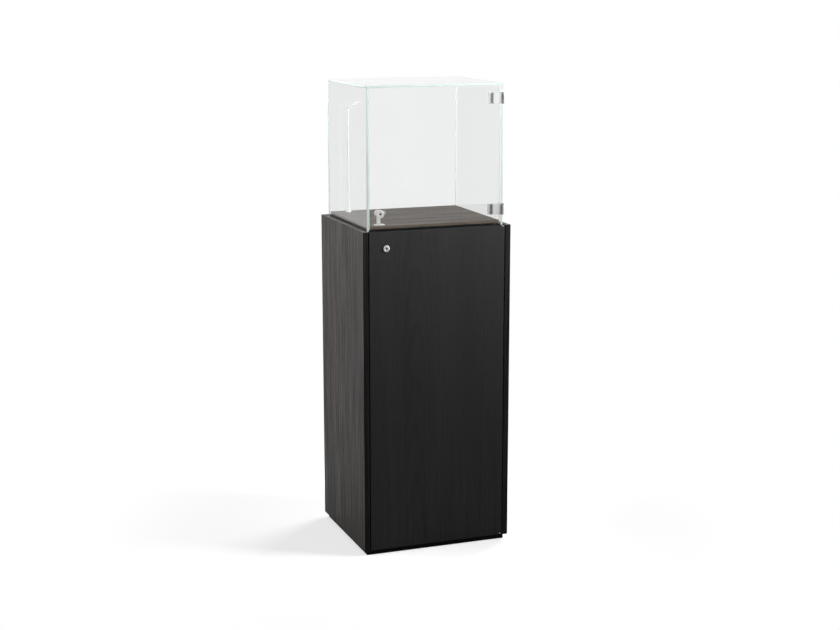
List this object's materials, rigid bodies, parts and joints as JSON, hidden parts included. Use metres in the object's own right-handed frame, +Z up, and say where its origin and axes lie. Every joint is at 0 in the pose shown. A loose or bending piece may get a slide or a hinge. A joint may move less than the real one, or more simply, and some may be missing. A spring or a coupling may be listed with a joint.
{
  "type": "pedestal display case",
  "caption": "Tall veneered pedestal cabinet with a glass display case on top, a lockable cabinet door, a lockable glass door and a small light on a stick.",
  "frame": {"origin": "on the floor, under the middle of the whole object's box", "axes": "+Z up, -Y towards the doors, +X to the right seen from the front"},
  "size_m": [0.45, 0.395, 1.357],
  "materials": {
    "dark_veneer": "satin dark oak veneer with straight grain",
    "brown_laminate": "satin brown wood-grain laminate",
    "black_board": "matt black",
    "clear_glass": "polished, with green edges",
    "chrome": "polished",
    "zinc_steel": "zinc plated",
    "white_enamel": "satin white",
    "light_lens": "frosted",
    "black_plastic": "moulded",
    "clear_rubber": "soft"
  },
  "bodies": {
    "cabinet": {"plinth_front": "black_board", "plinth_back": "black_board", "plinth_left": "black_board", "plinth_right": "black_board", "side_panel_left": "dark_veneer", "side_panel_right": "dark_veneer", "bottom_panel": "dark_veneer", "top_panel": "black_board", "back_panel": "dark_veneer", "cable_grommet": "black_plastic", "shelf": "dark_veneer", "shelf_support_front_left": "zinc_steel", "shelf_support_back_left": "zinc_steel", "shelf_support_front_right": "zinc_steel", "shelf_support_back_right": "zinc_steel", "pivot_bracket_top": "zinc_steel", "pivot_bracket_bottom": "zinc_steel", "pivot_pin_top": "zinc_steel", "pivot_pin_bottom": "zinc_steel", "door_bumper_top": "clear_rubber", "door_bumper_bottom": "clear_rubber", "cabinet_lock_strike": "zinc_steel", "deck_riser": "black_board", "deck_panel": "brown_laminate", "glass_left": "clear_glass", "glass_right": "clear_glass", "glass_back": "clear_glass", "glass_top": "clear_glass", "hinge_top_clamp": "chrome", "hinge_bottom_clamp": "chrome", "hinge_top_pin": "chrome", "hinge_bottom_pin": "chrome", "deck_lock_strike": "chrome", "light_foot": "white_enamel", "light_driver": "black_plastic", "light_wire": "black_plastic"},
    "cabinet_door": {"front_door": "dark_veneer", "cabinet_lock_housing": "chrome", "cabinet_lock_barrel_nut": "zinc_steel"},
    "cabinet_lock": {"cabinet_lock_plug": "chrome", "cabinet_lock_cam": "zinc_steel", "cabinet_lock_cam_nut": "zinc_steel"},
    "glass_door": {"glass_door": "clear_glass", "glass_lock_housing": "chrome", "glass_lock_barrel_nut": "zinc_steel", "hinge_top_front_plate": "chrome", "hinge_top_back_plate": "chrome", "hinge_bottom_front_plate": "chrome", "hinge_bottom_back_plate": "chrome"},
    "glass_lock": {"glass_lock_plug": "chrome", "glass_lock_cam": "zinc_steel", "glass_lock_cam_nut": "zinc_steel"},
    "light_pole": {"light_pole": "white_enamel", "light_tilt_pin": "zinc_steel"},
    "light_head": {"light_head": "white_enamel", "light_lens": "light_lens"}
  },
  "joints": [
    {"name": "cabinet_door_hinge", "type": "hinge", "parent": "cabinet", "child": "cabinet_door", "pos_m": [0.202, -0.1905, 0.48], "axis": [0, 0, 1], "range_deg": [0, 100]},
    {"name": "glass_door_hinge", "type": "hinge", "parent": "cabinet", "child": "glass_door", "pos_m": [0.204, -0.185, 1.15], "axis": [0, 0, 1], "range_deg": [0, 100]},
    {"name": "cabinet_lock_turn", "type": "hinge", "parent": "cabinet_door", "child": "cabinet_lock", "pos_m": [-0.1555, -0.1945, 0.903], "axis": [0, 1, 0], "range_deg": [0, 90]},
    {"name": "glass_lock_turn", "type": "hinge", "parent": "glass_door", "child": "glass_lock", "pos_m": [-0.168, -0.1765, 0.999], "axis": [0, 1, 0], "range_deg": [0, 90]},
    {"name": "light_swivel", "type": "hinge", "parent": "cabinet", "child": "light_pole", "pos_m": [-0.153, 0.1405, 0.97], "axis": [0, 0, 1], "range_deg": [-180, 45]},
    {"name": "light_tilt", "type": "hinge", "parent": "light_pole", "child": "light_head", "pos_m": [-0.153, 0.1405, 1.2735], "axis": [0, 1, 0], "range_deg": [-30, 55]}
  ]
}
